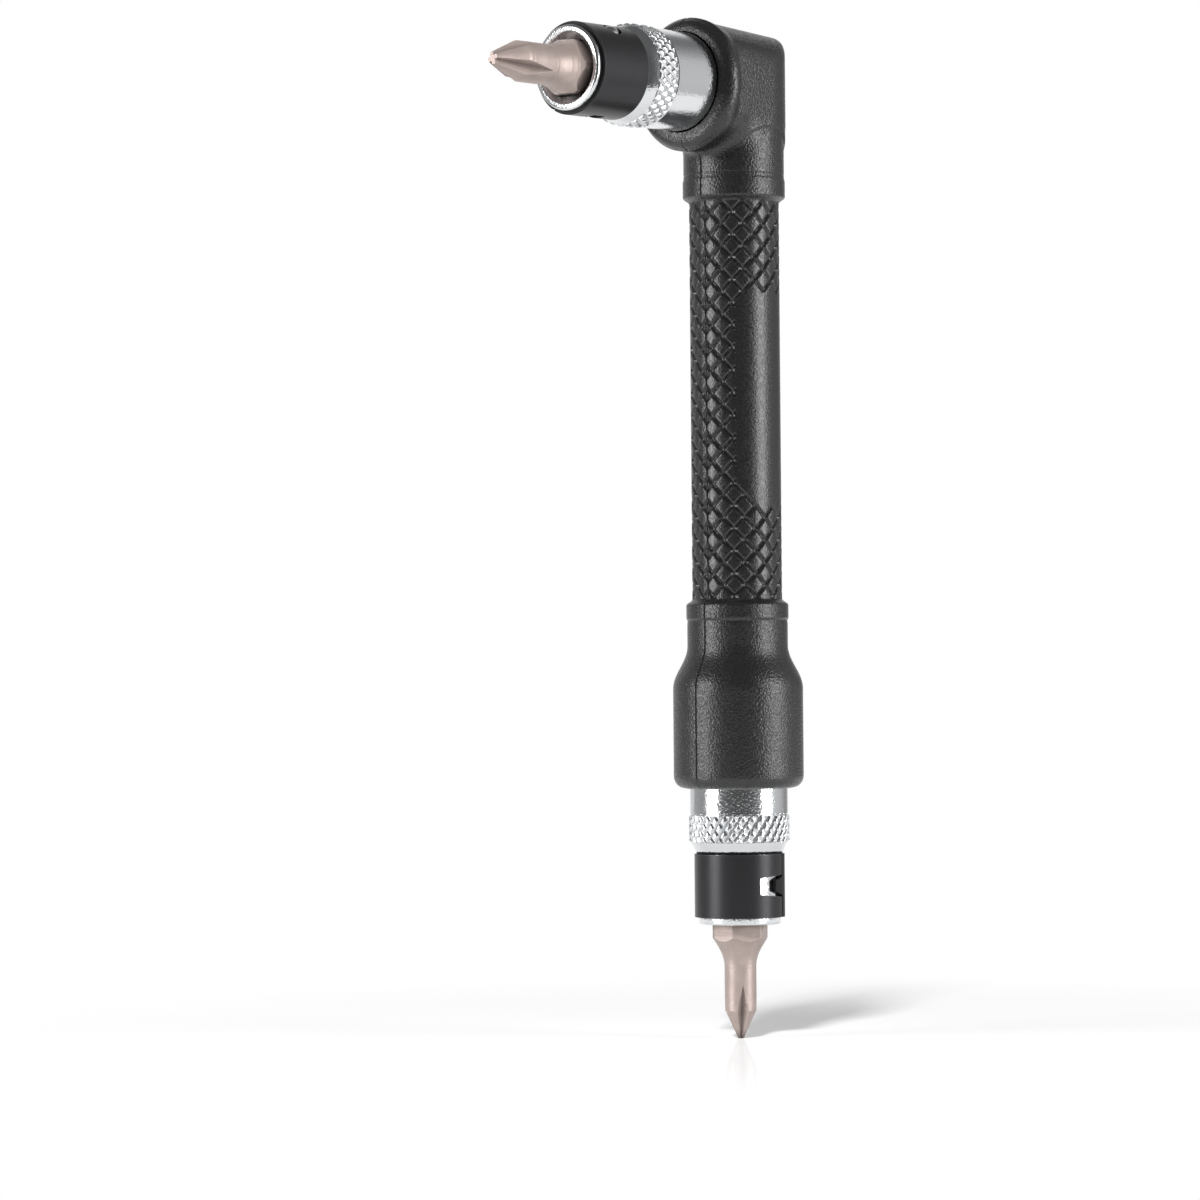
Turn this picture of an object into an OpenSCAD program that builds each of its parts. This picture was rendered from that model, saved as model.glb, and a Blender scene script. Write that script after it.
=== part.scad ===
// Offset screwdriver with a bit holder at each end, in millimetres.
// The handle's axis is Z and the head points along -X. The origin is the tip of the tail bit.

/* [Bits] */
// Hexagon across flats of both bits
bit_flats = 6.3; // [6.0:0.05:6.6]
// Across the rounded corners of the hexagon
bit_corners = 6.94; // [6.9:0.01:7.0]
// Whole length of a bit
bit_len = 25; // [23:0.5:28]
// How far the tail bit stands out of its socket
tail_bit_out = 14; // [12.5:0.25:15]
// How far the head bit stands out of its socket, which is deeper
head_bit_out = 12.6; // [12.5:0.1:14]
// Distance from a bit's tip to the full hexagon
bit_front_len = 12.35; // [11.6:0.05:12.4]
// Concave flare from the shank to the hexagon
bit_flare_len = 3.45; // [2.5:0.05:3.6]
// Power of the flare's curve, which is a straight cone at 1
bit_flare_bend = 1.8; // [1.5:0.1:2.5]
// Bevel on the hexagon's corners at the back end
bit_bevel = 0.45; // [0.2:0.05:0.6]
// Shank diameter of the fine bit in the tail
tail_shank_d = 3.9; // [3.5:0.1:4.5]
// Length of the fine bit's point
tail_point_len = 3.4; // [2.5:0.1:4]
// Flat at the end of the fine bit's point, across
tail_point_d = 0.7; // [0.5:0.05:1.2]
// Length of the fine bit's flutes
tail_flute_len = 6.7; // [5:0.1:8]
// Shank diameter of the coarse bit in the head
head_shank_d = 4.8; // [4.5:0.1:5.2]
// Length of the coarse bit's point
head_point_len = 4; // [3:0.1:4.5]
// Flat at the end of the coarse bit's point, across
head_point_d = 1.5; // [1.2:0.05:2]
// Length of the coarse bit's flutes
head_flute_len = 8.2; // [6:0.1:9]

/* [Sockets] */
// Diameter of the lip round the mouth
lip_d = 10.1; // [10.0:0.05:10.3]
// Length of the lip
lip_len = 0.85; // [0.5:0.05:1.2]
// Diameter of the groove that the spring band lies in
seat_d = 9.9; // [9.8:0.05:9.95]
// Diameter of the cone behind the band, at its small end
cone_d = 10.5; // [10.4:0.05:10.8]
// Diameter of the cone at its large end
cone_back_d = 11.8; // [11.4:0.05:12]
// Length of the cone
cone_len = 1.45; // [1:0.05:2]
// Diameter over the knurl
knurl_d = 12.3; // [12.1:0.02:12.4]
// Length of the knurl
knurl_len = 3.3; // [2.5:0.1:4]
// Diameter of the plain barrel
barrel_d = 11.98; // [11.9:0.02:12.08]
// Bore for the bit, across flats
socket_flats = 6.4; // [6.36:0.02:6.5]
// Depth of the hexagon bore behind the bit
socket_spare = 0.5; // [0.3:0.1:1]
// Dished mouth, across
mouth_d = 8.7; // [8.2:0.1:9]
// Depth of the dished mouth
mouth_depth = 1.1; // [0.7:0.05:1.4]

/* [Spring bands] */
// Length of a band along the socket
band_len = 7.7; // [7:0.1:8.2]
// Outer diameter of a band
band_d = 11.04; // [10.9:0.02:11.2]
// Thickness of the spring strip
band_t = 0.5; // [0.4:0.02:0.55]
// Gap where the strip's ends meet
band_gap = 0.25; // [0.15:0.05:0.5]
// Length of the notch round the band
notch_len = 3.8; // [3:0.1:4.5]
// Width of the notch at its mouth
notch_w = 2.7; // [2.2:0.1:3.2]
// Width of the notch at its closed end
notch_end_w = 1.95; // [1.5:0.05:2.1]
// Length of the tab that reaches into the notch
tab_len = 1.75; // [1.2:0.05:2.4]
// Width of the tab at its tip
tab_end_w = 1.35; // [1:0.05:1.6]
// Turn from the ball to the middle of the notch at the tail, in degrees
tail_notch_turn = 178; // [160:1:190]
// The same turn at the head
head_notch_turn = 160; // [150:1:190]

/* [Detent balls] */
// Diameter of a ball
ball_d = 2.3; // [2.2:0.02:2.36]
// Distance of a ball behind the mouth
ball_back = 5.2; // [4.8:0.1:5.8]
// How far a ball reaches past the rounded corners of the bit
ball_bite = 0.04; // [0.02:0.01:0.05]
// Diameter of the hole in the band that holds the ball
ball_window_d = 2.24; // [2.24:0.01:2.27]
// Small end of the tapered seat that keeps the ball out of the bore
ball_seat_d = 1.4; // [1.34:0.02:1.5]

/* [Handle] */
// Height of the head's axis over the tail bit's tip
head_h = 116.2; // [112:0.2:124]
// Diameter of the tube of the grip
tube_d = 11; // [10.8:0.1:12]
// Distance from the head's axis down to the upper end of the tube
neck_drop = 14; // [13.6:0.1:16]
// Diameter of the neck under the head
neck_d = 12.3; // [12.1:0.1:12.8]
// Diameter of the bead at each end of the tube
bead_d = 12.5; // [12.4:0.1:13]
// Length of the upper bead
bead_len = 2.1; // [1.5:0.1:2.4]
// Length of the lower bead
low_bead_len = 2.4; // [1.8:0.1:2.6]
// Distance from the open end of the bell up to the lower end of the tube
tail_grip_len = 23; // [22:0.1:26]
// Diameter of the bell at the tail
bell_d = 15.9; // [15.4:0.1:17]
// Plain barrel that shows between the knurl and the bell
barrel_show = 3.25; // [2:0.05:5]
// Length of the bell before it starts to narrow
bell_len = 12.2; // [11:0.1:13]
// Length of the curve from the bell to its neck
bell_curve_len = 5.2; // [4:0.1:6]
// Radius of the bell's lower edge
bell_edge_r = 1.4; // [0.8:0.1:1.5]

/* [Head] */
// Diameter of the collar round the barrel
collar_d = 16; // [15.6:0.1:16.6]
// Distance of the collar's front from the handle's axis
collar_front = 9.9; // [9.5:0.1:10.4]
// Length of the collar
collar_len = 3; // [2.6:0.1:3.4]
// Radius of the collar's front edge
collar_edge_r = 1.4; // [0.8:0.1:1.4]
// Width across the flat flanks
head_w = 12.8; // [12.4:0.1:13.6]
// Diameter of the head's cone behind the collar
head_front_d = 15.7; // [15.4:0.1:16]
// Diameter of the head's cone at the back
head_back_d = 13.9; // [13.7:0.1:14.6]
// Radius of the edge at the top of the back
head_edge_r = 1; // [0.8:0.1:2]
// Distance of the socket's mouth from the handle's axis
head_reach = 30.3; // [29.5:0.1:34]
// Depth of the ring groove between the collar and the barrel
collar_groove_depth = 0.9; // [0.5:0.1:1.4]
// Width of that groove
collar_groove_w = 0.55; // [0.3:0.05:0.8]

/* [Steel core] */
// Diameter of the rod in the handle
rod_d = 6; // [5:0.1:6.4]
// How deep the rod goes into the tail socket
rod_in_socket = 8; // [7:0.1:8.5]
// Length of the tail socket's barrel inside the bell
barrel_in_bell = 5.4; // [5:0.1:6.4]
// Diameter of the elbow block's round part
elbow_d = 9.2; // [9:0.1:9.6]
// Height of the elbow block
elbow_h = 17; // [16.6:0.1:17.2]
// Half height of the block over and under the head's axis
elbow_half = 4.8; // [4.6:0.1:5]
// Distance of the block's front face from the handle's axis
elbow_front = 6.8; // [6.7:0.1:7]
// Diameter of the tenon on the back of the head socket
tenon_d = 7.2; // [6.6:0.1:7.4]
// Length of the tenon
tenon_len = 9.8; // [8.5:0.1:10]
// Diameter of the spring pins
pin_d = 2; // [1.5:0.1:2.2]
// Bore down the middle of a spring pin
pin_bore_d = 1; // [0.6:0.1:1.2]
// How far the tail pin reaches into the grip on each side
pin_key = 0.9; // [0.5:0.1:1.1]
// Distance from the open end of the bell up to the tail pin
tail_pin_up = 2.4; // [2:0.1:3]
// Distance from the bottom of the elbow block up to the pin through it
rod_pin_up = 2.5; // [2:0.1:3.5]
// How deep the ends of that pin lie under the block's round side
pin_sunk = 0.25; // [0.2:0.05:0.5]

/* [Grip shells] */
// Clearance between the shells and the steel inside
shell_gap = 0.04; // [0.03:0.01:0.08]
// Clearance of the pressed joints
press_gap = 0.02; // [0.01:0.01:0.04]
// Diameter of the locating pegs in the tube
peg_d = 1.2; // [0.9:0.05:1.3]
// Height of the locating pegs
peg_h = 1.7; // [1:0.1:1.9]
// Diameter of the locating pegs in the bell
bell_peg_d = 1.6; // [1.2:0.1:1.9]
// Distance of the pegs in the tube from its ends
peg_from_end = 8.3; // [5:0.1:14]
// Distance from the end of the tail socket up to the pegs in the bell
bell_peg_up = 4; // [2.5:0.1:5]

/* [Hidden] */
$fn = 96;
// Every cut runs this far past the face it opens
over = 0.5;
// Steps in a rounded edge and in the bell's curve
edge_steps = 8;
curve_steps = 10;
// Room for a ball in its hole, and for a band in its groove
ball_gap = 0.03;
band_gap_in = 0.05;
// Corner radius of the flat hexagon bores, from across flats
hex_share = 1 / cos(30);
// A spring pin's slit, and the bevel that starts a pin or a rod
pin_slit = 0.4;
// Depth of the relief that the ball drops into on a bit's corners
relief_depth = 0.2;
relief_len = 2.6;
// Width of the tube's step up to a bead, and the fine line cut beside it
bead_step = 0.5;
line_depth = 0.12;
line_w = 0.3;
// Room at the blind end of a peg's hole
peg_spare = 0.3;

seat_len = band_len + band_gap_in;
seat_back = lip_len + seat_len;
knurl_front = seat_back + cone_len;
knurl_back = knurl_front + knurl_len;
band_r = band_d / 2;
band_in_r = band_r - band_t;
ball_r = ball_d / 2;
ball_at = bit_corners / 2 - ball_bite + ball_r;
tail_mouth = tail_bit_out;
bell_bottom = tail_mouth + knurl_back + barrel_show;
bell_top = bell_bottom + bell_len;
tube_bottom = bell_bottom + tail_grip_len;
tube_top = head_h - neck_drop;
tail_socket_top = bell_bottom + barrel_in_bell;
tail_pin_h = bell_bottom + tail_pin_up;
tail_rod_end = tail_socket_top - rod_in_socket;
elbow_bottom = head_h + elbow_half - elbow_h;
rod_pin_h = elbow_bottom + rod_pin_up;
rod_top = head_h - tenon_d / 2 - bit_bevel;
rod_pin_len = elbow_d - 2 * pin_sunk;
head_barrel_len = head_reach - elbow_front;
peg_x = (rod_d / 2 + tube_d / 2) / 2;
bell_peg_x = (rod_d / 2 + bell_d / 2) / 2;
tail_pin_len = barrel_d + 2 * pin_key;
head_pin_x = elbow_front - pin_d;
head_pin_len = elbow_half + tenon_d / 2;
// Turn of each ball and of each bit's flutes about its socket's axis, in degrees
tail_ball_turn = 0;
head_ball_turn = 120;
tail_flute_turn = 50;
head_flute_turn = 25;

// The place of a socket's axis: outwards is -Z here, for the tail and then for the head
module at_tail() { translate([0, 0, tail_mouth]) rotate([0, 0, 90]) children(); }
module at_head() { translate([-head_reach, 0, head_h]) rotate([90, 0, 90]) children(); }

// Points of a quarter round from angle a0 to a1 about a centre
function arc(cx, cy, r, a0, a1) =
    [for (i = [0:edge_steps]) let (a = a0 + (a1 - a0) * i / edge_steps)
        [cx + r * cos(a), cy + r * sin(a)]];

// Bits

// The outline of a bit from its point, at height 0, to its back end
module bit_outline(shank_d, point_len, point_d) {
    flare_start = bit_front_len - bit_flare_len;
    corner_r = bit_corners / 2;
    polygon(concat(
        [[0, 0], [point_d / 2, 0], [shank_d / 2, point_len], [shank_d / 2, flare_start]],
        [for (i = [1:curve_steps]) let (s = i / curve_steps)
            [shank_d / 2 + (corner_r - shank_d / 2) * pow(s, bit_flare_bend),
             flare_start + bit_flare_len * s]],
        [[corner_r, bit_len - bit_bevel], [corner_r - bit_bevel, bit_len], [0, bit_len]]));
}

// The ring cut round the hexagon's corners that the ball drops into
module relief(bit_out) {
    corner_r = bit_corners / 2;
    translate([0, 0, bit_out + ball_back]) rotate_extrude() polygon([
        [corner_r - relief_depth, -relief_len / 4], [corner_r, -relief_len / 2],
        [corner_r + over, -relief_len / 2], [corner_r + over, relief_len / 2],
        [corner_r, relief_len / 2], [corner_r - relief_depth, relief_len / 4]]);
}

// One flute of a cross point: a square groove that leans out of the shank
module flute(shank_d, point_d, flute_len) {
    lean = atan((shank_d / 2 - point_d / 4) / flute_len);
    translate([point_d / 4, 0, -over])
        rotate([0, lean, 0])
            rotate([0, 0, -45])
                cube([shank_d, shank_d, flute_len + shank_d]);
}

module bit(bit_out, shank_d, point_len, point_d, flute_len, turn) {
    difference() {
        intersection() {
            cylinder(d = bit_flats * hex_share, h = bit_len, $fn = 6);
            rotate_extrude() bit_outline(shank_d, point_len, point_d);
        }
        relief(bit_out);
        for (quarter = [0:90:270])
            rotate([0, 0, turn + quarter]) flute(shank_d, point_d, flute_len);
    }
}

// Sockets

// The outside of a socket from its mouth, at height 0, to the end of the plain barrel
module socket_outline(barrel_end) {
    lip_r = lip_d / 2;
    soft = lip_len / 3;
    polygon([
        [0, 0], [lip_r - soft, 0], [lip_r, soft], [lip_r, lip_len],
        [seat_d / 2, lip_len], [seat_d / 2, seat_back],
        [cone_d / 2, seat_back], [cone_back_d / 2, knurl_front],
        [knurl_d / 2, knurl_front + press_gap], [knurl_d / 2, knurl_back],
        [barrel_d / 2, knurl_back], [barrel_d / 2, barrel_end], [0, barrel_end]]);
}

// Everything cut out of a socket's front: the hexagon bore, its mouth and the ball's hole
module socket_cuts(bit_out, ball_turn) {
    translate([0, 0, -over])
        cylinder(d = socket_flats * hex_share, h = over + bit_len - bit_out + socket_spare, $fn = 6);
    translate([0, 0, -press_gap])
        cylinder(d1 = mouth_d, d2 = socket_flats, h = mouth_depth);
    rotate([0, 0, ball_turn]) translate([0, 0, ball_back]) rotate([0, 90, 0]) {
        seat_top = ball_at - ball_r / 3;
        seat_low = ball_at - ball_r;
        translate([0, 0, seat_top]) cylinder(r = ball_r + ball_gap, h = knurl_d / 2 - seat_top);
        translate([0, 0, seat_low])
            cylinder(d1 = ball_seat_d, r2 = ball_r + ball_gap, h = seat_top - seat_low);
    }
}

// The flat shape of the split in a band, seen from outside, with x round the band
function round_x(arc_len) = band_r * sin(arc_len / band_r * 180 / PI);
module band_split() {
    mouth_x = notch_len / 2;
    tip_x = mouth_x - tab_len;
    polygon([
        [round_x(-mouth_x), -notch_end_w / 2], [round_x(-mouth_x), notch_end_w / 2],
        [round_x(mouth_x), notch_w / 2], [round_x(mouth_x), band_len],
        [round_x(mouth_x + band_gap), band_len], [round_x(mouth_x + band_gap), notch_w / 2 - band_gap],
        [round_x(tip_x), tab_end_w / 2], [round_x(tip_x), -tab_end_w / 2],
        [round_x(mouth_x + band_gap), -notch_w / 2 + band_gap],
        [round_x(mouth_x + band_gap), -band_len], [round_x(mouth_x), -band_len],
        [round_x(mouth_x), -notch_w / 2]]);
}

// A spring band round its socket, with the split, the notch and the ball's window
module band(ball_turn, notch_turn) {
    band_low = lip_len + band_gap_in / 2;
    difference() {
        translate([0, 0, band_low]) difference() {
            cylinder(r = band_r, h = band_len);
            translate([0, 0, -over]) cylinder(r = band_in_r, h = band_len + 2 * over);
        }
        rotate([0, 0, ball_turn]) translate([0, 0, ball_back]) rotate([0, 90, 0])
            cylinder(d = ball_window_d, h = band_d);
        rotate([0, 0, ball_turn + notch_turn]) translate([0, 0, band_low + band_len / 2])
            rotate([90, 0, 90]) linear_extrude(band_d) band_split();
    }
}

// A ball in its tapered seat
module ball(ball_turn) {
    rotate([0, 0, ball_turn]) translate([ball_at, 0, ball_back]) sphere(r = ball_r);
}

// Steel core

// A rolled spring pin of a given length, standing on the origin
module spring_pin(length) {
    difference() {
        cylinder(d = pin_d, h = length);
        translate([0, 0, -over]) cylinder(d = pin_bore_d, h = length + 2 * over);
        translate([0, -pin_slit / 2, -over]) cube([pin_d, pin_slit, length + 2 * over]);
    }
}

// The holes for the three spring pins, or the pins themselves
module tail_pin_place() {
    half = barrel_d / 2 + pin_key;
    translate([-half, 0, tail_pin_h]) rotate([0, 90, 0]) children();
}
module rod_pin_place() {
    translate([-elbow_d / 2, 0, rod_pin_h]) rotate([0, 90, 0]) children();
}
module head_pin_place() {
    translate([-head_pin_x, 0, head_h - tenon_d / 2]) children();
}
module pin_hole(length) { cylinder(d = pin_d + 2 * press_gap, h = length); }

// The elbow block's outside: a round post with a square front, grown by a clearance
module elbow_body(grow) {
    translate([0, 0, elbow_bottom - grow]) cylinder(d = elbow_d + 2 * grow, h = elbow_h + 2 * grow);
    translate([-elbow_front - grow, -elbow_d / 2 - grow, head_h - elbow_half - grow])
        cube([elbow_front + grow, elbow_d + 2 * grow, 2 * (elbow_half + grow)]);
}

// Grip

// The turned outline of the grip from the open end of the bell to the neck
module grip_outline() {
    bell_r = bell_d / 2;
    neck_r = neck_d / 2;
    bead_r = bead_d / 2;
    tube_r = tube_d / 2;
    curve_top = bell_top + bell_curve_len;
    low_bead = tube_bottom - low_bead_len;
    top_bead = tube_top + bead_step;
    polygon(concat(
        [[0, bell_bottom]],
        arc(bell_r - bell_edge_r, bell_bottom + bell_edge_r, bell_edge_r, -90, 0),
        [for (i = [0:curve_steps]) let (s = i / curve_steps)
            [neck_r + (bell_r - neck_r) * (1 + cos(180 * s)) / 2, bell_top + bell_curve_len * s]],
        [[neck_r, low_bead - line_w], [neck_r - line_depth, low_bead - line_w / 2],
         [bead_r, low_bead], [bead_r, tube_bottom - bead_step],
         [tube_r, tube_bottom], [tube_r, tube_top],
         [bead_r, top_bead], [bead_r, top_bead + bead_len], [neck_r, top_bead + bead_len + line_w],
         [neck_r, head_h], [0, head_h]]));
}

// The head behind the collar: a cone with flat flanks and a round back
module head_block() {
    half_w = head_w / 2;
    top = head_back_d / 2;
    intersection() {
        translate([-collar_front + collar_len / 2, 0, head_h]) rotate([0, 90, 0])
            cylinder(d1 = head_front_d, d2 = head_back_d, h = collar_front - collar_len / 2 + half_w);
        union() {
            translate([0, 0, head_h]) rotate_extrude() polygon(concat(
                [[0, -collar_d / 2]], [[half_w, -collar_d / 2]],
                arc(half_w - head_edge_r, top - head_edge_r, head_edge_r, 0, 80),
                [[0, collar_d / 2]]));
            translate([-collar_front, -half_w, head_h - collar_d / 2])
                cube([collar_front, head_w, collar_d]);
        }
    }
}

// The collar round the barrel, turned about the head's axis, with its ring groove
module collar() {
    collar_r = collar_d / 2;
    back_r = (collar_r + head_w / 2) / 2;
    groove_r = barrel_d / 2 + collar_groove_w;
    translate([-collar_front, 0, head_h]) rotate([0, 90, 0]) difference() {
        rotate_extrude() polygon(concat(
            [[0, 0]], arc(collar_r - collar_edge_r, collar_edge_r, collar_edge_r, -90, 0),
            [[collar_r, collar_len - collar_edge_r], [back_r, collar_len], [0, collar_len]]));
        translate([0, 0, -over]) cylinder(r = groove_r, h = over + collar_groove_depth);
    }
}

module grip_outside() {
    rotate_extrude() grip_outline();
    head_block();
    collar();
}

// The space that the shells leave for the steel parts
module grip_cavity() {
    translate([0, 0, bell_bottom - over])
        cylinder(d = barrel_d + 2 * shell_gap, h = over + tail_socket_top - bell_bottom + shell_gap);
    translate([0, 0, tail_socket_top])
        cylinder(d = rod_d + 2 * shell_gap, h = elbow_bottom - tail_socket_top);
    elbow_body(shell_gap);
    translate([-head_reach, 0, head_h]) rotate([0, 90, 0])
        cylinder(d = barrel_d + 2 * shell_gap, h = head_barrel_len + shell_gap);
    translate([-shell_gap, 0, 0]) tail_pin_place() pin_hole(tail_pin_len + 2 * shell_gap);
}

// The pegs that locate one shell on the other, or their holes
module pegs(grow, height) {
    for (side = [-1, 1]) {
        for (z = [tube_bottom + peg_from_end, tube_top - peg_from_end])
            translate([side * peg_x, -press_gap, z]) rotate([-90, 0, 0])
                cylinder(r = peg_d / 2 + grow, h = height + press_gap, $fn = 48);
        translate([side * bell_peg_x, -press_gap, tail_socket_top + bell_peg_up]) rotate([-90, 0, 0])
            cylinder(r = bell_peg_d / 2 + grow, h = height + press_gap, $fn = 48);
    }
}

// Half of the grip on one side of the handle's own plane
module grip_half(side) {
    wide = 2 * (collar_front + collar_d);
    low = side > 0 ? 0 : -wide / 2;
    difference() {
        intersection() {
            grip_outside();
            translate([-wide / 2, low, 0]) cube([wide, wide / 2, head_h + collar_d]);
        }
        grip_cavity();
    }
}

module right_grip_shell() {
    color("#3c3c3e") {
        grip_half(-1);
        pegs(0, peg_h);
    }
}

module left_grip_shell() {
    color("#3c3c3e") difference() {
        grip_half(1);
        pegs(press_gap, peg_h + peg_spare);
    }
}

module core_rod() {
    color("#8d9094") difference() {
        translate([0, 0, tail_rod_end]) cylinder(d = rod_d, h = rod_top - tail_rod_end);
        tail_pin_place() pin_hole(tail_pin_len);
        rod_pin_place() pin_hole(elbow_d);
    }
}

module elbow_block() {
    color("#7f8286") difference() {
        elbow_body(0);
        translate([0, 0, elbow_bottom - over])
            cylinder(d = rod_d + 2 * press_gap, h = over + rod_top - elbow_bottom);
        translate([-elbow_front - over, 0, head_h]) rotate([0, 90, 0])
            cylinder(d = tenon_d + 2 * press_gap, h = over + tenon_len + press_gap);
        translate([-over, 0, 0]) rod_pin_place() pin_hole(elbow_d + 2 * over);
        head_pin_place() pin_hole(head_pin_len + over);
    }
}

module rod_pin() {
    color("#a7a9ac") translate([pin_sunk, 0, 0]) rod_pin_place() spring_pin(rod_pin_len);
}

module head_socket() {
    color("#d9dbde") difference() {
        at_head() difference() {
            union() {
                rotate_extrude() socket_outline(head_barrel_len);
                translate([0, 0, head_barrel_len - press_gap])
                    cylinder(d = tenon_d, h = tenon_len + press_gap);
            }
            socket_cuts(head_bit_out, head_ball_turn);
        }
        head_pin_place() pin_hole(head_pin_len + over);
    }
}

module head_socket_pin() {
    color("#a7a9ac") head_pin_place() spring_pin(head_pin_len);
}

module tail_socket() {
    color("#d9dbde") difference() {
        at_tail() difference() {
            rotate_extrude() socket_outline(tail_socket_top - tail_mouth);
            socket_cuts(tail_bit_out, tail_ball_turn);
        }
        translate([0, 0, tail_rod_end]) cylinder(d = rod_d + 2 * press_gap, h = rod_in_socket + over);
        translate([-over, 0, 0]) tail_pin_place() pin_hole(tail_pin_len + 2 * over);
    }
}

module tail_socket_pin() { color("#a7a9ac") tail_pin_place() spring_pin(tail_pin_len); }

module head_spring_band() { color("#2b2b2d") at_head() band(head_ball_turn, head_notch_turn); }
module tail_spring_band() { color("#2b2b2d") at_tail() band(tail_ball_turn, tail_notch_turn); }
module head_detent_ball() { color("#e3e4e6") at_head() ball(head_ball_turn); }
module tail_detent_ball() { color("#e3e4e6") at_tail() ball(tail_ball_turn); }

module head_bit() {
    color("#b8a49c") at_head() translate([0, 0, -head_bit_out])
        bit(head_bit_out, head_shank_d, head_point_len, head_point_d, head_flute_len, head_flute_turn);
}

module tail_bit() {
    color("#b8a49c") at_tail() translate([0, 0, -tail_bit_out])
        bit(tail_bit_out, tail_shank_d, tail_point_len, tail_point_d, tail_flute_len, tail_flute_turn);
}

right_grip_shell();
left_grip_shell();
core_rod();
elbow_block();
rod_pin();
head_socket();
head_socket_pin();
tail_socket();
tail_socket_pin();
head_spring_band();
tail_spring_band();
head_detent_ball();
tail_detent_ball();
head_bit();
tail_bit();
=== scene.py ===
import math

import bmesh
import bpy
import numpy as np
from mathutils import Matrix, Vector


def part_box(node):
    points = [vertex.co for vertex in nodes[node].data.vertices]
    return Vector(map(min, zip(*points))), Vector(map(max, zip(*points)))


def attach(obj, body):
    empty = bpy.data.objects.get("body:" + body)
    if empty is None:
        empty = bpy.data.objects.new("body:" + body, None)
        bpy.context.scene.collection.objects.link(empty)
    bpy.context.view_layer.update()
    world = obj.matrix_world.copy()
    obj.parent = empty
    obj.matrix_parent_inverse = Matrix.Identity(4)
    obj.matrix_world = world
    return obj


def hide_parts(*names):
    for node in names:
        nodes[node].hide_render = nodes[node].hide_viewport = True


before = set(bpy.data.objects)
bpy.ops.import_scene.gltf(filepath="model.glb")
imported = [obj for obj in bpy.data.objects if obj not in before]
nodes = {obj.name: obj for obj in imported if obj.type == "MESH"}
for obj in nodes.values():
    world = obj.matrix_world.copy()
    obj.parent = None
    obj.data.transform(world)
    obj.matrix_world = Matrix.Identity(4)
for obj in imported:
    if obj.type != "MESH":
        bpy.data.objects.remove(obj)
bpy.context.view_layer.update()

# The view
# The photograph looks level at the tool from the right of its head, through a long lens.
# The picture is tilted by half a degree, and its horizon lies a little under the middle.
MM = 0.001
picture_px = 1200
camera_azimuth = math.radians(-48)
camera_distance = 587.34 * MM
camera_left = 16.87 * MM
camera_height = 45.83 * MM
camera_roll = math.radians(0.494)
focal_px = 4798.7
horizon_row_px = 664.8
towards_camera = Vector((math.sin(camera_azimuth), -math.cos(camera_azimuth), 0))
picture_right = Vector((math.cos(camera_azimuth), math.sin(camera_azimuth), 0))
picture_up = Vector((0, 0, 1))

lens = bpy.data.cameras.new("photo_lens")
lens.sensor_width = 36
lens.lens = lens.sensor_width * focal_px / picture_px
lens.shift_y = (horizon_row_px - picture_px / 2) / picture_px
lens.clip_start = 20 * MM
lens.clip_end = 40
camera = bpy.data.objects.new("photo_camera", lens)
bpy.context.scene.collection.objects.link(camera)
bpy.context.scene.camera = camera
tilted_right = picture_right * math.cos(camera_roll) - picture_up * math.sin(camera_roll)
tilted_up = picture_up * math.cos(camera_roll) + picture_right * math.sin(camera_roll)
camera.matrix_world = Matrix((tilted_right, tilted_up, towards_camera)).transposed().to_4x4()
camera.location = (towards_camera * camera_distance - picture_right * camera_left
                   + picture_up * camera_height)

# Steel core
# A drawn steel rod runs down the handle and an elbow block turns it through a right angle.
# Three rolled spring pins lock the rod, the block and the sockets. All of it is closed in the grip.
rod_grey = "#8d9094"
pin_grey = "#a3a5a8"
drawing_line_w = 0.25 * MM
drawing_line_stretch = 0.05
drawing_line_depth = 0.02 * MM
node_sharp_degrees = 32


def linear(code):
    """The linear colour of an sRGB hex code."""
    parts = [int(code[i:i + 2], 16) / 255 for i in (1, 3, 5)]
    return [p / 12.92 if p <= 0.04045 else ((p + 0.055) / 1.055) ** 2.4 for p in parts] + [1.0]


def fill(tree, node, inputs):
    """Sets a node's inputs to values, or joins them to the outputs of other nodes."""
    for name, value in dict(inputs).items():
        if isinstance(value, bpy.types.NodeSocket):
            tree.links.new(value, node.inputs[name])
        else:
            node.inputs[name].default_value = value


def add(tree, kind, inputs=(), **settings):
    """Adds a node with its settings and its inputs."""
    made = tree.nodes.new(kind)
    for name, value in settings.items():
        setattr(made, name, value)
    fill(tree, made, inputs)
    return made


def noise(tree, place, size, detail):
    """A field of soft random patches, each of about one size."""
    return add(tree, "ShaderNodeTexNoise",
               {"Vector": place, "Scale": 1 / size, "Detail": detail}).outputs["Fac"]


def spread(tree, field, low, high):
    """A field from 0 to 1, laid over a range of roughness."""
    return add(tree, "ShaderNodeMapRange",
               {"Value": field, "To Min": low, "To Max": high}).outputs["Result"]


def bump(tree, field, strength, depth, **under):
    """The normal of a skin that a field raises, on top of the Normal of another bump if given."""
    return add(tree, "ShaderNodeBump",
               {"Height": field, "Strength": strength, "Distance": depth, **under}).outputs["Normal"]


def start_material(name):
    """A new material: its tree, its shader and the place on the object in metres."""
    made = bpy.data.materials.new(name)
    made.use_nodes = True
    tree = made.node_tree
    place = add(tree, "ShaderNodeTexCoord").outputs["Object"]
    return made, tree, tree.nodes["Principled BSDF"], place


def dress(node, material):
    """Gives a carried-over CAD node its finish."""
    for i in range(len(node.material_slots)):
        node.material_slots[i].material = material
    node.data.shade_smooth()
    node.data.set_sharp_from_angle(angle=math.radians(node_sharp_degrees))


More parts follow.
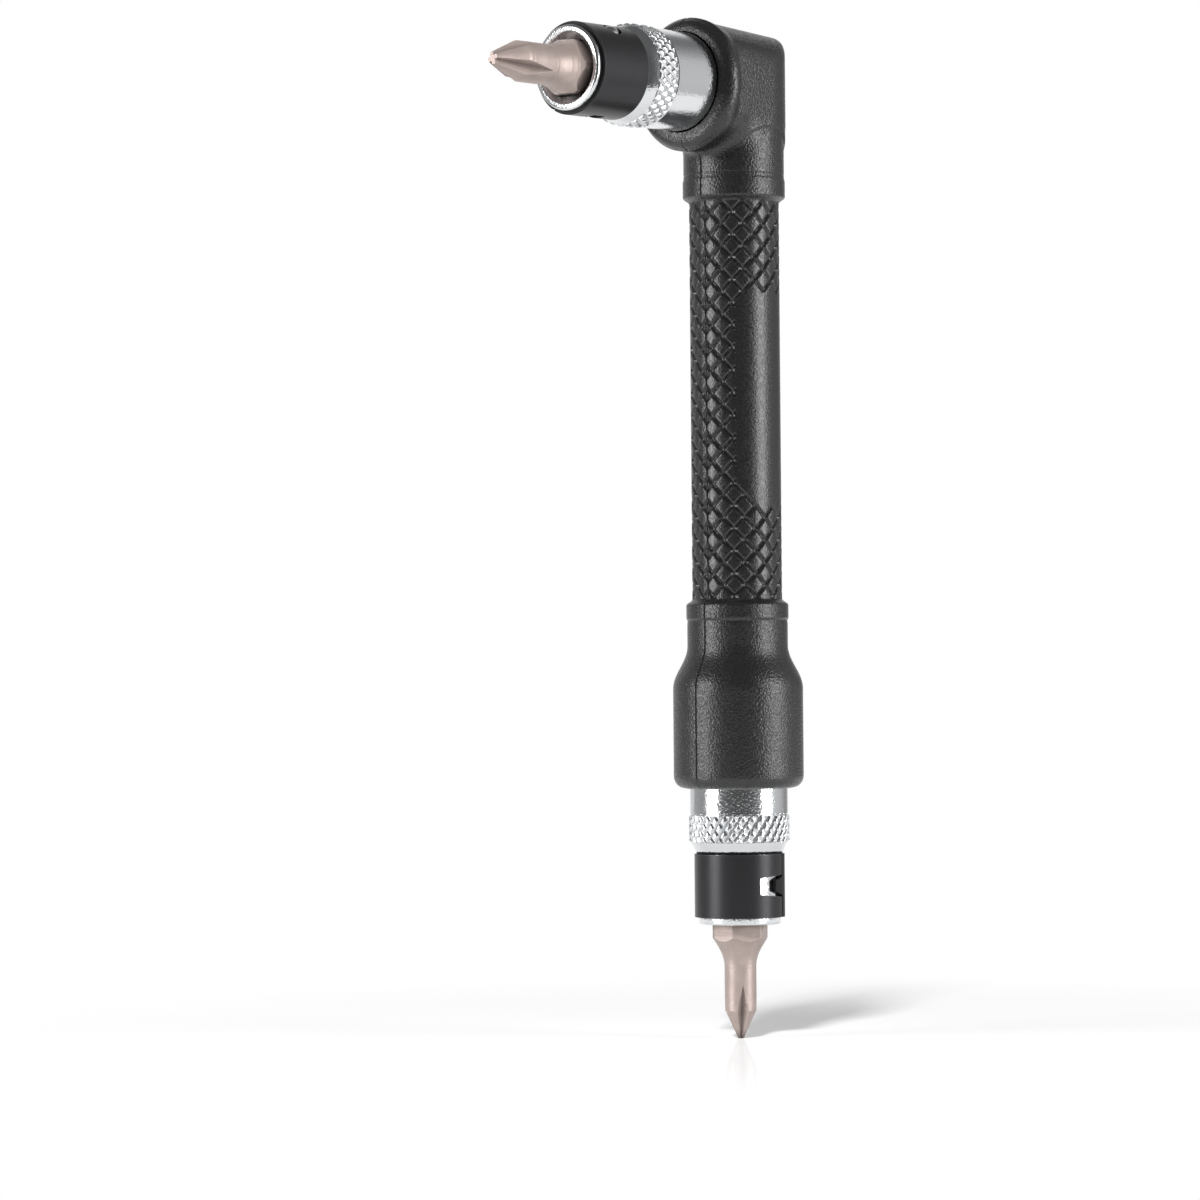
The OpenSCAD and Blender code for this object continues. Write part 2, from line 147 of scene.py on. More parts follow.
def drawn_steel(name, grey, roughness):
    """Cold drawn steel: lines along the bar, drawn coarser than real, give a soft streaked gloss."""
    made, tree, shader, place = start_material(name)
    along_bar = add(tree, "ShaderNodeMapping", {"Vector": place, "Scale": (1, 1, drawing_line_stretch)})
    lines = noise(tree, along_bar.outputs["Vector"], drawing_line_w, 3.0)
    fill(tree, shader, {"Base Color": linear(grey), "Metallic": 1.0,
                        "Roughness": spread(tree, lines, roughness - 0.08, roughness + 0.1),
                        "Normal": bump(tree, lines, 0.2, drawing_line_depth)})
    return made


rod_steel = drawn_steel("cold_drawn_steel", rod_grey, 0.34)
pin_steel = drawn_steel("rolled_pin_steel", pin_grey, 0.26)
for name in ("core_rod", "elbow_block"):
    dress(nodes[name], rod_steel)
for name in ("rod_pin", "head_socket_pin", "tail_socket_pin"):
    dress(nodes[name], pin_steel)

# Bit sockets
# Each socket is a turned steel barrel with a hexagon bore, a dished mouth, a lip, a cone and a
# crossed knurl, all bright chrome plated. The knurl is rolled in, so its points stand proud.
chrome_white = "#e4e6e8"
head_low, head_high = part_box("head_socket")
tail_low, tail_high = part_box("tail_socket")
head_z = (head_low.z + head_high.z) / 2
knurl_tip_r = (tail_high.y - tail_low.y) / 2
# Lengths and depths along a socket run inwards from its mouth, and turns run round its axis.
lip_r = 5.05 * MM
lip_len = 0.85 * MM
lip_round = 0.34 * MM
seat_r = 4.95 * MM
seat_back = 8.6 * MM
cone_r = 5.25 * MM
cone_back_r = 5.9 * MM
edge_break = 0.05 * MM
cone_edge = 0.06 * MM
knurl_front = 10.05 * MM
knurl_back = 13.35 * MM
knurl_teeth = 32
knurl_pitch_along = 1.75 * MM
knurl_depth = 0.26 * MM
knurl_cross_depth = 0.13 * MM
knurl_groove_share = 0.26
knurl_crown = 0.08 * MM
knurl_end_round = 0.35 * MM
knurl_rings = 46
tooth_steps = 16
barrel_r = 5.99 * MM
undercut_depth = 0.08 * MM
undercut_front = 0.03 * MM
undercut_back = 0.12 * MM
barrel_front = 0.2 * MM
mouth_r = 4.35 * MM
mouth_depth = 1.1 * MM
mouth_edge = 0.06 * MM
mouth_edge_w = 0.04 * MM
hexagon_flats = 6.4 * MM
bore_spare = 0.5 * MM
tenon_r = 3.6 * MM
tenon_len = 9.8 * MM
rod_hole_r = 3.02 * MM
rod_hole_depth = 8 * MM
centre_r = 0.1 * MM
smallest_r = 0.01 * MM
ball_r = 1.15 * MM
ball_back = 5.2 * MM
ball_at = 4.58 * MM
ball_room = 0.03 * MM
ball_seat_low_r = 0.7 * MM
tail_ball_turn = 0
head_ball_turn = 120
pin_r = 1.02 * MM
cutter_over = 1 * MM
weld_reach = 0.002 * MM
thin_edge = 0.001 * MM
socket_sharp_degrees = 28
speckle_size = 0.3 * MM
speckle_depth = 0.04 * MM
smear_size = 3 * MM


def at_tail(points):
    """Points of a socket's own frame, with the mouth at 0 and +Z inwards, placed at the tail."""
    x, y, z = np.moveaxis(np.asarray(points, float), -1, 0)
    return np.stack([-y, x, z + tail_low.z], -1)


def at_head(points):
    """The same at the head, where inwards is +X."""
    x, y, z = np.moveaxis(np.asarray(points, float), -1, 0)
    return np.stack([z + head_low.x, x, y + head_z], -1)


def piece_from(name, vertices, faces, sharp_degrees):
    """An object from vertices and faces, with doubles fused and edges over an angle kept sharp."""
    mesh = bpy.data.meshes.new(name)
    mesh.from_pydata([tuple(v) for v in vertices], [], [tuple(f) for f in faces])
    work = bmesh.new()
    work.from_mesh(mesh)
    bmesh.ops.remove_doubles(work, verts=work.verts, dist=weld_reach)
    bmesh.ops.dissolve_degenerate(work, edges=work.edges, dist=thin_edge)
    bmesh.ops.recalc_face_normals(work, faces=work.faces)
    work.to_mesh(mesh)
    work.free()
    mesh.shade_smooth()
    mesh.set_sharp_from_angle(angle=math.radians(sharp_degrees))
    made = bpy.data.objects.new(name, mesh)
    bpy.context.scene.collection.objects.link(made)
    return made


def lofted(name, rings, sharp_degrees=35):
    """A closed skin through a stack of closed rings, with a flat face on the first and the last."""
    rings = np.asarray(rings, float)
    count, around = rings.shape[:2]
    index = np.arange(count * around).reshape(count, around)
    near, far = index[:-1], index[1:]
    quads = np.stack([near, np.roll(near, -1, 1), np.roll(far, -1, 1), far], -1).reshape(-1, 4)
    faces = quads.tolist() + [index[0][::-1].tolist(), index[-1].tolist()]
    return piece_from(name, rings.reshape(-1, 3), faces, sharp_degrees)


def cylinder_between(name, start, end, start_r, end_r, sides=48):
    """A plain round cutter from one point to another."""
    axis = (end - start).normalized()
    side = axis.orthogonal().normalized()
    other = axis.cross(side)
    turns = np.linspace(0, 2 * math.pi, sides, endpoint=False)
    rings = [[centre + (side * math.cos(t) + other * math.sin(t)) * r for t in turns]
             for centre, r in ((start, start_r), (end, end_r))]
    return lofted(name, rings)


def cut(piece, cutters):
    """Cuts holes in a piece and removes the cutters."""
    for cutter in cutters:
        step = piece.modifiers.new("hole", "BOOLEAN")
        step.operation = "DIFFERENCE"
        step.solver = "EXACT"
        step.object = cutter
    cut_mesh = bpy.data.meshes.new_from_object(
        piece.evaluated_get(bpy.context.evaluated_depsgraph_get()))
    piece.modifiers.clear()
    piece.data = cut_mesh
    piece.data.set_sharp_from_angle(angle=math.radians(socket_sharp_degrees))
    for cutter in cutters:
        bpy.data.objects.remove(cutter)


def paint(piece, place_at, test, index):
    """Gives a material slot to the faces whose depth, radius, turn and outward slant pass a test."""
    marks = [Vector(p) for p in place_at([[0, 0, 0], [0, 0, 1], [1, 0, 0], [0, 1, 0]])]
    start = marks[0]
    inward, zero, quarter = [mark - start for mark in marks[1:]]
    for face in piece.data.polygons:
        off = face.center - start
        depth = off.dot(inward)
        outward = off - inward * depth
        turn = math.degrees(math.atan2(outward.dot(quarter), outward.dot(zero)))
        if test(depth, outward.length, turn, face.normal.dot(outward.normalized())):
            face.material_index = index


def hexagon_radius(turns, flats):
    """Distance from the centre to a hexagon's side, which has a corner at angle 0."""
    to_flat = (turns + math.pi / 6) % (math.pi / 3) - math.pi / 6
    return flats / 2 / np.cos(math.pi / 6 - np.abs(to_flat))


def knurl_groove(phase, depth):
    """Depth of a rolled groove, deepest at each whole phase, with rounded crowns between."""
    off = np.abs(phase - np.round(phase))
    return depth * np.clip(1 - off / knurl_groove_share, 0, 1) + knurl_crown * (1 - 2 * off) ** 2


def socket_rings(bore_depth, barrel_end, back_path):
    """The rings of a socket from the bottom of its bore, out over the barrel, to its back."""
    around = tooth_steps * knurl_teeth
    turns = np.arange(around) * 2 * math.pi / around
    rings = []

    def ring(radius, depth):
        r = np.broadcast_to(np.maximum(radius, smallest_r), turns.shape)
        rings.append(np.stack([r * np.cos(turns), r * np.sin(turns), np.full(around, depth)], -1))

    bore = hexagon_radius(turns, hexagon_flats)
    ring(centre_r, bore_depth)
    ring(bore, bore_depth)
    for depth in np.linspace(bore_depth, mouth_depth, 6)[1:]:
        ring(bore, depth)
    dish_slope = (mouth_r - hexagon_flats / 2) / mouth_depth
    for depth in np.linspace(mouth_depth, mouth_edge, 12)[1:]:
        ring(np.maximum(bore, mouth_r - depth * dish_slope), depth)
    ring(mouth_r + mouth_edge_w, 0)
    for share in np.linspace(0, 1, 7):
        bend = share * math.pi / 2
        ring(lip_r - lip_round + lip_round * math.sin(bend), lip_round - lip_round * math.cos(bend))
    ring(lip_r, lip_len - edge_break)
    ring(lip_r - edge_break, lip_len)
    ring(seat_r, lip_len)
    ring(seat_r, seat_back)
    ring(cone_r - cone_edge, seat_back)
    ring(cone_r, seat_back + edge_break)
    ring(cone_back_r, knurl_front)
    for depth in np.linspace(knurl_front, knurl_back, knurl_rings):
        along = (depth - knurl_front) / knurl_pitch_along
        round_share = turns / (2 * math.pi) * knurl_teeth
        sunk = np.maximum(knurl_groove(round_share - along, knurl_depth),
                          knurl_groove(round_share + along, knurl_cross_depth))
        end = min(depth - knurl_front, knurl_back - depth) / knurl_end_round
        sunk = np.maximum(sunk, knurl_depth * (1 - math.sqrt(1 - (1 - min(end, 1)) ** 2)))
        ring(knurl_tip_r - sunk, depth)
    ring(barrel_r - undercut_depth, knurl_back + undercut_front)
    ring(barrel_r - undercut_depth, knurl_back + undercut_back)
    for depth in np.linspace(knurl_back + barrel_front, barrel_end, 12):
        ring(barrel_r, depth)
    for radius, depth in back_path:
        ring(radius, depth)
    return rings


def ball_seat(name, place_at, turn):
    """The tapered hole of a detent ball, as two cutters."""
    across, up = math.cos(math.radians(turn)), math.sin(math.radians(turn))
    low, mid, high = [Vector(place_at([[across * r, up * r, ball_back]])[0])
                      for r in (ball_at - ball_r, ball_at - ball_r / 3, knurl_tip_r)]
    wide = ball_r + ball_room
    return [cylinder_between(name + "_seat", low, mid, ball_seat_low_r, wide),
            cylinder_between(name + "_hole", low.lerp(mid, 0.98), high, wide, wide)]


# Chromium plate over turned steel: a near mirror, with the fine orange peel of the bath. The peel
# is drawn coarser than real, so that it shows.
chrome, tree, shader, place = start_material("bright_chrome_plate")
speckle = noise(tree, place, speckle_size, 2.0)
smear = noise(tree, place, smear_size, 3.0)
fill(tree, shader, {"Base Color": linear(chrome_white), "Metallic": 1.0,
                    "Roughness": spread(tree, smear, 0.06, 0.15),
                    "Normal": bump(tree, speckle, 0.7, speckle_depth)})

# The rolling wheel leaves the knurl duller than the turned faces, and the plate follows it.
satin, tree, shader, place = start_material("satin_rolled_chrome")
speckle = noise(tree, place, speckle_size, 2.0)
fill(tree, shader, {"Base Color": linear(chrome_white), "Metallic": 1.0,
                    "Roughness": spread(tree, speckle, 0.22, 0.36)})

tail_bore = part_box("tail_bit")[1].z - tail_low.z + bore_spare
head_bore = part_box("head_bit")[1].x - head_low.x + bore_spare
tail_barrel_end = tail_high.z - tail_low.z
head_barrel_end = head_high.x - head_low.x - tenon_len
tail_back = [(rod_hole_r, tail_barrel_end), (rod_hole_r, tail_barrel_end - rod_hole_depth),
             (centre_r, tail_barrel_end - rod_hole_depth)]
head_back = [(tenon_r, head_barrel_end), (tenon_r, head_barrel_end + tenon_len),
             (centre_r, head_barrel_end + tenon_len)]
pin_low, pin_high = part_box("tail_socket_pin")
pin_z = (pin_low.z + pin_high.z) / 2
tail_pin_hole = cylinder_between("tail_pin_hole", Vector((pin_low.x - cutter_over, 0, pin_z)),
                                 Vector((pin_high.x + cutter_over, 0, pin_z)), pin_r, pin_r)
pin_low, pin_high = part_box("head_socket_pin")
pin_x = (pin_low.x + pin_high.x) / 2
head_pin_hole = cylinder_between("head_pin_hole", Vector((pin_x, 0, pin_low.z - cutter_over)),
                                 Vector((pin_x, 0, pin_high.z + cutter_over)), pin_r, pin_r)
sockets = (("tail", at_tail, tail_bore, tail_barrel_end, tail_back, tail_ball_turn, tail_pin_hole),
           ("head", at_head, head_bore, head_barrel_end, head_back, head_ball_turn, head_pin_hole))
for end, place_at, bore, barrel_end, back_path, ball_turn, pin_hole in sockets:
    rings = socket_rings(bore, barrel_end, back_path)
    socket = lofted(end + "_socket_turned", place_at(rings), socket_sharp_degrees)
    cut(socket, ball_seat(end, place_at, ball_turn) + [pin_hole])
    socket.data.materials.clear()
    socket.data.materials.append(chrome)
    socket.data.materials.append(satin)
    paint(socket, place_at, lambda depth, r, turn, slant: r > cone_r
          and knurl_front < depth < knurl_back, 1)
    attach(socket, "root")
    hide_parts(end + "_socket")

# Detent balls
# A hardened and polished steel ball sits in the tapered hole of each socket, under the band.
# It shows as a bright dot in the round window of the band.
ball_white = "#dcdde0"
scuff_size = 0.4 * MM

# Lapped bearing steel: a mirror, dulled a little where the band rubs on it.
polished, tree, shader, place = start_material("polished_ball_steel")
scuff = noise(tree, place, scuff_size, 4.0)
fill(tree, shader, {"Base Color": linear(ball_white), "Metallic": 1.0,
                    "Roughness": spread(tree, scuff, 0.05, 0.2)})
for name in ("head_detent_ball", "tail_detent_ball"):
    dress(nodes[name], polished)

# Spring bands
# A strip of spring steel is rolled round each socket and blackened in an oxide bath. One end has
# a notch, the other a tab that reaches into it. A round window in the strip holds the ball.
oxide_black = "#3a3a3c"
# Lighter grey of the band's edges: part rubbed wear, part painted highlight.
worn_and_highlight_edge_grey = "#8a8b8d"
# Painted shade for the rims of the strip, the tab and the end behind the split.
shade_painted_black = "#0f0f10"
band_len = 7.7 * MM
band_r = 5.52 * MM
band_t = 0.5 * MM
band_front = 0.875 * MM
band_gap = 0.25 * MM
notch_len = 3.95 * MM
notch_w = 2.75 * MM
notch_end_w = 2.0 * MM
tab_len = 1.5 * MM
tab_end_w = 1.35 * MM
shade_painted_end_len = 2.2 * MM
strip_corner_r = 0.22 * MM
tail_notch_turn = 178
head_notch_turn = 160
window_r = 1.16 * MM
window_sides = 40
strip_step = 0.3 * MM
band_sharp_degrees = 30
edge_round = 0.07 * MM
edge_round_from = math.radians(50)
worn_and_highlight_edge_w = 0.12 * MM
worn_and_highlight_edge_share = 0.7
flat_slant = 0.7
oxide_cloud_size = 1.2 * MM
oxide_grit_size = 0.12 * MM
oxide_grit_depth = 0.02 * MM


def dot(tree, first, second):
    """The dot product of two directions."""
    return add(tree, "ShaderNodeVectorMath", {0: first, 1: second},
               operation="DOT_PRODUCT").outputs["Value"]


def mix(tree, share, first, second):
    """One colour that turns into another as the share rises from 0 to 1."""
    return add(tree, "ShaderNodeMix", {"Factor": share, 6: first, 7: second},
               data_type="RGBA").outputs[2]


def rounded_corners(points, radius, steps=4):
    """A closed outline with its corners rounded."""
    made = []
    for i, corner in enumerate(points):
        before, after = points[i - 1], points[(i + 1) % len(points)]
        back = (before - corner).normalized()
        on = (after - corner).normalized()
        reach = min(radius, (before - corner).length / 3, (after - corner).length / 3)
        for k in range(steps + 1):
            t = k / steps
            made.append(corner + back * reach * (1 - t) ** 2 + on * reach * t ** 2)
    return made


def in_shade_painted_end(along, across):
    """Whether a place on the strip is on its tab or close behind the split, where shade is painted."""
    shoulder = tab_len + band_gap
    return along < shoulder and abs(across) < notch_w / 2 or shoulder < along < shoulder + shade_painted_end_len


def spring_band(name, place_at, ball_turn, notch_turn):
    """A band as a flat strip with its hole, cut into narrow lengths and rolled round the socket."""
    half, mouth = band_len / 2, notch_len / 2
    whole = 2 * math.pi * band_r
    tab_root = mouth + band_gap - whole
    tab_tip = mouth - tab_len - whole
    outline = rounded_corners([Vector(p) for p in (
        (tab_root, -half), (mouth, -half), (mouth, -notch_w / 2), (-mouth, -notch_end_w / 2),
        (-mouth, notch_end_w / 2), (mouth, notch_w / 2), (mouth, half), (tab_root, half),
        (tab_root, notch_w / 2 - band_gap), (tab_tip, tab_end_w / 2),
        (tab_tip, -tab_end_w / 2), (tab_root, -notch_w / 2 + band_gap))], strip_corner_r)
    window = Vector((-math.radians(notch_turn) * band_r, ball_back - band_front - half))
    # The window is just wide enough for the ball at the inner face.
    window_reach = math.asin(window_r / (band_r - band_t)) * band_r
    circle = [window + Vector((math.cos(t) * window_reach, math.sin(t) * window_r))
              for t in np.linspace(0, 2 * math.pi, window_sides, endpoint=False)]
    work = bmesh.new()
    for loop in (outline, circle):
        corners = [work.verts.new((p.x, p.y, 0)) for p in loop]
        for i, v in enumerate(corners):
            work.edges.new((v, corners[(i + 1) % len(corners)]))
    bmesh.ops.triangle_fill(work, use_beauty=True, use_dissolve=False, edges=work.edges)
    for x in np.arange(tab_tip + strip_step, mouth, strip_step):
        bmesh.ops.bisect_plane(work, geom=work.verts[:] + work.edges[:] + work.faces[:],
                               plane_co=(x, 0, 0), plane_no=(1, 0, 0), dist=thin_edge)
    work.verts.ensure_lookup_table()
    work.verts.index_update()
    flat = np.array([v.co for v in work.verts])
    top = [[v.index for v in f.verts] for f in work.faces]
    rim = [[v.index for v in e.verts] for e in work.edges if len(e.link_faces) == 1]
    work.free()
    turns = flat[:, 0] / band_r + math.radians(ball_turn + notch_turn)
    depth = flat[:, 1] + half + band_front
    skins = [np.stack([r * np.cos(turns), r * np.sin(turns), depth], -1)
             for r in (band_r, band_r - band_t)]
    low = len(flat)
    faces = top + [[i + low for i in reversed(f)] for f in top]
    faces += [[a, b, b + low, a + low] for a, b in rim]
    made = piece_from(name, place_at(np.concatenate(skins)), faces, band_sharp_degrees)
    made.data.materials.append(blackened)
    made.data.materials.append(shade_painted_edge)
    split_turn = ball_turn + notch_turn + math.degrees((mouth - tab_len) / band_r)
    # Painted shade: the rims, the tab and the end behind the split get the near black edge material.
    paint(made, place_at, lambda depth, r, turn, slant: abs(slant) < flat_slant, 1)
    paint(made, place_at, lambda depth, r, turn, slant: slant > flat_slant and in_shade_painted_end(
        math.radians((turn - split_turn) % 360) * band_r, depth - band_front - half), 1)
    soften = made.modifiers.new("edge_round", "BEVEL")
    soften.width = edge_round
    soften.segments = 2
    soften.limit_method = "ANGLE"
    soften.angle_limit = edge_round_from
    return made


# Black oxide on spring steel: a dark satin metal with a clouded gloss. Its edges are drawn lighter grey,
# partly as rubbed wear and partly as a painted highlight along the rounded edges.
blackened, tree, shader, place = start_material("blackened_spring_steel")
cloud = noise(tree, place, oxide_cloud_size, 5.0)
grit = noise(tree, place, oxide_grit_size, 2.0)
rounded = add(tree, "ShaderNodeBevel", {"Radius": worn_and_highlight_edge_w}, samples=4).outputs["Normal"]
straight = add(tree, "ShaderNodeNewGeometry").outputs["Normal"]
# Wear and painted highlight: the colour turns lighter grey where the surface bends round an edge.
rubbed_and_highlight_edge = add(tree, "ShaderNodeMapRange", {"Value": dot(tree, rounded, straight), "From Min": 0.995,
                                          "From Max": 0.85, "To Max": worn_and_highlight_edge_share}).outputs["Result"]
fill(tree, shader, {"Base Color": mix(tree, rubbed_and_highlight_edge, linear(oxide_black), linear(worn_and_highlight_edge_grey)),
                    "Metallic": 0.8, "Roughness": spread(tree, cloud, 0.27, 0.4),
                    "Normal": bump(tree, grit, 0.15, oxide_grit_depth)})

# Painted shade: the rims of the strip, the tab and the end behind the split are drawn black and dull.
shade_painted_edge, tree, shader, place = start_material("painted_shade_band_edge")
fill(tree, shader, {"Base Color": linear(shade_painted_black), "Roughness": 0.55, "Specular IOR Level": 0.3})

for end, place_at, ball_turn, notch_turn in (("tail", at_tail, tail_ball_turn, tail_notch_turn),
                                             ("head", at_head, head_ball_turn, head_notch_turn)):
    band = spring_band(end + "_band_strip", place_at, ball_turn, notch_turn)
    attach(band, "root")
    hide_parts(end + "_spring_band")

# Bits
# Both bits are turned from quarter inch hexagon steel, and four flutes are ground into the point.
# A bead blasted, warm grey finish hides the hard gloss, and the lathe's rings show through it.
bit_warm_grey = "#baaba6"
bit_shade = "#a09089"
bit_flats = 6.3 * MM
bit_corner_r = 3.47 * MM
bit_len = 25 * MM
bit_front_len = 12.35 * MM
bit_flare_len = 3.45 * MM
bit_flare_bend = 1.8
bit_bevel = 0.45 * MM
relief_depth = 0.2 * MM
relief_len = 2.6 * MM
bit_edge_round = 0.04 * MM
bit_round_from = math.radians(26)
bit_sharp_degrees = 24
tail_shank_r = 1.95 * MM
tail_point_len = 3.4 * MM
tail_point_r = 0.35 * MM
tail_flute_len = 6.7 * MM
tail_flute_turn = 50
head_shank_r = 2.4 * MM
head_point_len = 4.0 * MM
head_point_r = 0.75 * MM
head_flute_len = 8.2 * MM
head_flute_turn = 25
flare_side_turn = math.radians(20)
flare_side_fade = 0.35 * MM
blast_grit_size = 0.15 * MM
blast_grit_depth = 0.03 * MM
blast_cloud_size = 1.6 * MM
turning_ring_pitch = 0.32 * MM
turning_ring_depth = 0.05 * MM
flute_shade_reach = 1.2 * MM


def bit_radius(z, relief_mid, shank_r, point_len, point_r):
    """The turned radius of a bit at a distance from its point."""
    flare_start = bit_front_len - bit_flare_len
    if z < point_len:
        return point_r + (shank_r - point_r) * z / point_len
    if z < flare_start:
        return shank_r
    if z < bit_front_len:
        share = (z - flare_start) / bit_flare_len
        return shank_r + (bit_corner_r - shank_r) * share ** bit_flare_bend
    if abs(z - relief_mid) < relief_len / 2:
        slope = (relief_len / 2 - abs(z - relief_mid)) / (relief_len / 4)
        return bit_corner_r - relief_depth * min(slope, 1)
    return bit_corner_r - max(0, z - (bit_len - bit_bevel))


def sided(sides, first_turn, edge, outer, side_part, corner_part, radius_at):
    """Turns and radii of a ring with equal sides: each a hollow or a flat, then a round corner."""
    turns, radii = [], []
    side_turn = 2 * math.pi / sides
    for side in range(sides):
        middle = first_turn + side * side_turn
        for k in range(side_part):
            off = -edge + 2 * edge * k / side_part
            turns.append(middle + off)
            radii.append(min(radius_at(off), outer))
        for k in range(corner_part):
            turns.append(middle + edge + (side_turn - 2 * edge) * k / corner_part)
            radii.append(outer)
    return np.array(turns), np.array(radii)


def bit_piece(name, place_at, bit_out, shank_r, point_len, point_r, flute_len, flute_turn):
    """A bit as rings whose points follow the edges of its flutes and of its hexagon."""
    flute_part, land_part, flat_part, corner_part = 10, 8, 8, 4
    flute_r = point_r / 2
    flare_start = bit_front_len - bit_flare_len
    relief_mid = bit_out + ball_back

    def fluted(z):
        outer = bit_radius(z, relief_mid, shank_r, point_len, point_r)
        inner = min(flute_r + (shank_r - flute_r) * z / flute_len, outer)
        edge = math.acos(inner / outer / math.sqrt(2)) - math.pi / 4
        return sided(4, math.radians(flute_turn), edge, outer, flute_part, land_part,
                     lambda off: inner / (math.cos(off) - abs(math.sin(off))))

    def hexed(z):
        outer = bit_radius(z, relief_mid, shank_r, point_len, point_r)
        if outer > bit_flats / 2:
            edge = math.acos(bit_flats / 2 / outer)
        else:
            edge = flare_side_turn * min(1, (bit_flats / 2 - outer) / flare_side_fade)
        return sided(6, math.pi / 6, edge, outer, flat_part, corner_part,
                     lambda off: bit_flats / 2 / math.cos(off))

    def ring(turns, radii, z):
        return np.stack([radii * np.cos(turns), radii * np.sin(turns), np.full(len(turns), z)], -1)

    heights = np.concatenate([np.linspace(0, point_len, 22),
                              np.linspace(point_len, flute_len, 18)[1:]])
    rings = [ring(*fluted(z), z) for z in heights]
    start_turns = fluted(flute_len)[0]
    end_turns = hexed(flare_start)[0]
    shift = round((start_turns[0] - end_turns[0]) / (2 * math.pi) * len(end_turns))
    end_turns = end_turns[0] + 2 * math.pi * (np.arange(len(end_turns)) + shift) / len(end_turns)
    for share in np.linspace(0, 1, 8)[1:-1]:
        turns = start_turns * (1 - share) + end_turns * share
        z = flute_len + (flare_start - flute_len) * share
        rings.append(ring(turns, np.full(len(turns), shank_r), z))
    heights = np.concatenate([
        np.linspace(flare_start, bit_front_len, 36),
        [bit_out, relief_mid - relief_len / 2, relief_mid - relief_len / 4,
         relief_mid + relief_len / 4, relief_mid + relief_len / 2, bit_len - bit_bevel, bit_len]])
    for z in heights:
        turns, radii = hexed(z)
        rings.append(ring(np.roll(turns, -shift), np.roll(radii, -shift), z))
    stack = np.array(rings) - np.array([0, 0, bit_out])
    made = lofted(name, place_at(stack), bit_sharp_degrees)
    from_tip = made.data.attributes.new("from_tip", "FLOAT", "POINT")
    start, end = [Vector(p) for p in place_at([[0, 0, 0], [0, 0, 1]])]
    for v, value in zip(made.data.vertices, from_tip.data):
        value.value = (v.co - start).dot(end - start) + bit_out
    soften = made.modifiers.new("edge_round", "BEVEL")
    soften.width = bit_edge_round
    soften.segments = 2
    soften.limit_method = "ANGLE"
    soften.angle_limit = bit_round_from
    return made


# Bead blasted tool steel in a warm grey: a soft sheen, with painted shade that darkens the colour in
# the flutes. The grit and the lathe's rings are drawn coarser than real, so that they show.
blasted, tree, shader, place = start_material("bead_blasted_bit_steel")
grit = noise(tree, place, blast_grit_size, 3.0)
cloud = noise(tree, place, blast_cloud_size, 4.0)
from_tip = add(tree, "ShaderNodeAttribute", attribute_name="from_tip").outputs["Fac"]
turned = add(tree, "ShaderNodeTexNoise", {"W": from_tip, "Scale": 1 / turning_ring_pitch,
                                          "Detail": 2.0}, noise_dimensions="1D").outputs["Fac"]
rings = bump(tree, turned, 0.6, turning_ring_depth)
tone = mix(tree, cloud, linear(bit_warm_grey), linear(bit_shade))
# Painted shade: ambient occlusion darkens the colour in the flutes and other hollows.
painted_hollow_shade = add(tree, "ShaderNodeAmbientOcclusion", {"Color": tone, "Distance": flute_shade_reach})
fill(tree, shader, {"Base Color": painted_hollow_shade.outputs["Color"], "Metallic": 0.5,
                    "Roughness": spread(tree, grit, 0.34, 0.5),
                    "Normal": bump(tree, grit, 0.3, blast_grit_depth, Normal=rings)})

tail_bit_out = tail_low.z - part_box("tail_bit")[0].z
head_bit_out = head_low.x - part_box("head_bit")[0].x
bits = (("tail", at_tail, (tail_bit_out, tail_shank_r, tail_point_len, tail_point_r, tail_flute_len,
                           tail_flute_turn)),
        ("head", at_head, (head_bit_out, head_shank_r, head_point_len, head_point_r, head_flute_len,
                           head_flute_turn)))
for end, place_at, bit_sizes in bits:
    bit = bit_piece(end + "_bit_ground", place_at, *bit_sizes)
    bit.data.materials.append(blasted)
    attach(bit, end + "_bit")
    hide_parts(end + "_bit")

# Grip shells
# Two moulded halves of charcoal plastic are welded round the steel core, and meet in the plane of
# the L. Raised scales cover the tube, apart from a smooth panel on each side. The mould is spark
# eroded, so the whole skin has a grain, which is fainter on the tube.
grip_charcoal = "#161617"
bell_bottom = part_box("right_grip_shell")[0].z
bell_r = 7.95 * MM
bell_edge_r = 1.5 * MM
bell_len = 12.2 * MM
bell_curve_len = 5.2 * MM
tube_r = 5.5 * MM
tube_bottom = bell_bottom + 23 * MM
tube_top = head_z - 14 * MM
neck_r = 6.15 * MM
bead_r = 6.25 * MM
bead_len = 2.1 * MM
low_bead_len = 2.4 * MM
bead_step = 0.5 * MM
low_bead_rise = 0.12 * MM
top_bead_fall = 0.2 * MM
line_depth = 0.1 * MM
line_w = 0.3 * MM
neck_line_up = 0.8 * MM
collar_r = 7.95 * MM
head_drop = 0.22 * MM
collar_front = -9.85 * MM
collar_len = 3 * MM
collar_edge_r = 1.5 * MM
collar_groove_r = barrel_r + 0.14 * MM
collar_groove_depth = 0.9 * MM
head_half_w = 6.4 * MM
cone_front_x = -8.4 * MM
cone_front_r = 7.85 * MM
cone_end_r = 6.95 * MM
head_edge_blend = 0.8 * MM
collar_blend = 0.7 * MM
neck_blend = 1.8 * MM
heel_arch_r = 6.2 * MM
heel_arch_low = 11.5 * MM
heel_step = 0.2 * MM
heel_step_w = 0.5 * MM
heel_front = -4.5 * MM
heel_fade = 2 * MM
shell_gap = 0.04 * MM
rod_space_r = 3.04 * MM
elbow_space_r = 4.64 * MM
elbow_space_low = head_z - 12.24 * MM
elbow_space_high = head_z + 4.84 * MM
elbow_space_front = -6.84 * MM
pivot_x = -6.7 * MM
pivot_z = head_z - 8.9 * MM
bend_bulge = 1.5 * MM
longest_ray = 24 * MM
profile_steps = 8000
